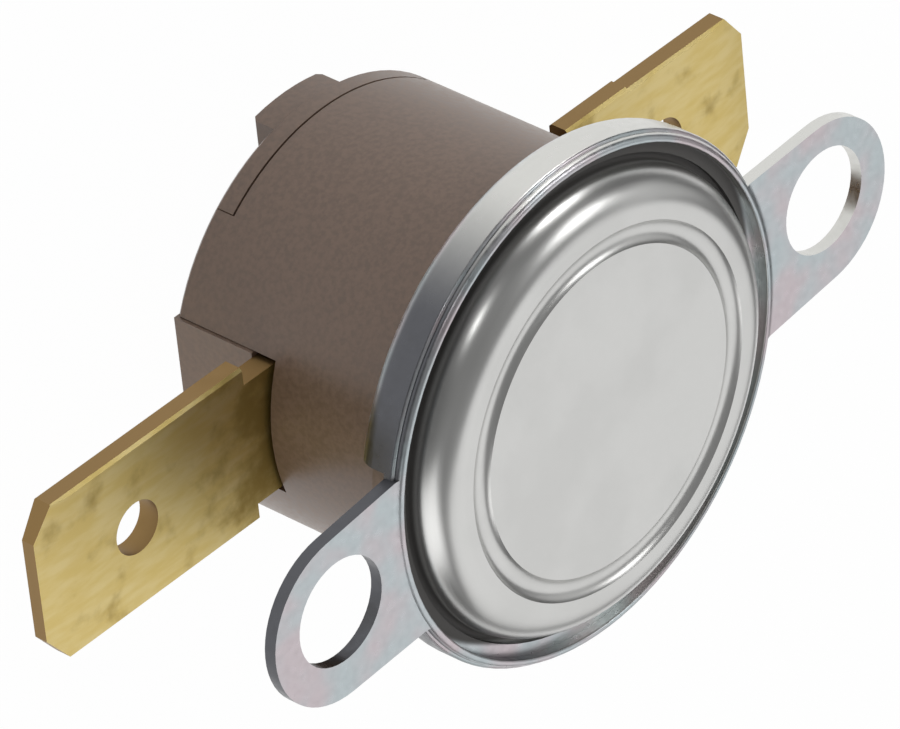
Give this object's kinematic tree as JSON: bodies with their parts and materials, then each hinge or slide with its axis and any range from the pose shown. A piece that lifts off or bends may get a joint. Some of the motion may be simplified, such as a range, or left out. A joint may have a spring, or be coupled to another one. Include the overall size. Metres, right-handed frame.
{
  "type": "bimetal thermostat",
  "caption": "Snap-disc temperature switch: drawn sensing cap crimped in an eared flange on a moulded body, with blade terminals out of its sides.",
  "frame": {"origin": "midway between the two ear holes, on the ears' front face", "axes": "+Z out of the sensing cap along the body's axis, +X along the line of the ear holes"},
  "size_m": [0.0343, 0.0184, 0.0131],
  "materials": {
    "zinc_plated_steel": "bright zinc plate with a faint iridescence",
    "satin_aluminium": "satin, drawn",
    "bimetal": "plain rolled",
    "brown_phenolic": "moulded, low gloss",
    "white_ceramic": "unglazed",
    "brass_sheet": "rolled sheet, slightly dulled",
    "contact_silver": "plain silver",
    "spring_copper": "rolled spring strip"
  },
  "bodies": {
    "switch_body": {"mounting_flange": "zinc_plated_steel", "sensor_cap": "satin_aluminium", "bimetal_disc": "bimetal", "pin_guide": "brown_phenolic", "housing": "brown_phenolic", "rear_cover": "brown_phenolic", "fixed_terminal": "brass_sheet", "arm_terminal": "brass_sheet", "fixed_contact": "contact_silver", "arm_rivet": "brass_sheet"},
    "pin": {"transfer_pin": "white_ceramic"},
    "arm": {"contact_arm": "spring_copper", "moving_contact": "contact_silver"}
  },
  "joints": [
    {"name": "pin_slide", "type": "slide", "parent": "switch_body", "child": "pin", "axis": [0, 0, -1], "range_m": [0, 0.0003], "deforming": ["bimetal_disc"]},
    {"name": "arm_swing", "type": "hinge", "parent": "switch_body", "child": "arm", "pos_m": [0.00339, -0.00027, -0.00793], "axis": [-0.0785, -0.9969, 0], "range_deg": [0, 5.2], "stiffness_Nm_per_rad": 0.02, "deforming": ["contact_arm"]}
  ],
  "couplings": [
    {"joint": "arm_swing", "follows": "pin_slide", "rad_per_m": 294.12}
  ]
}
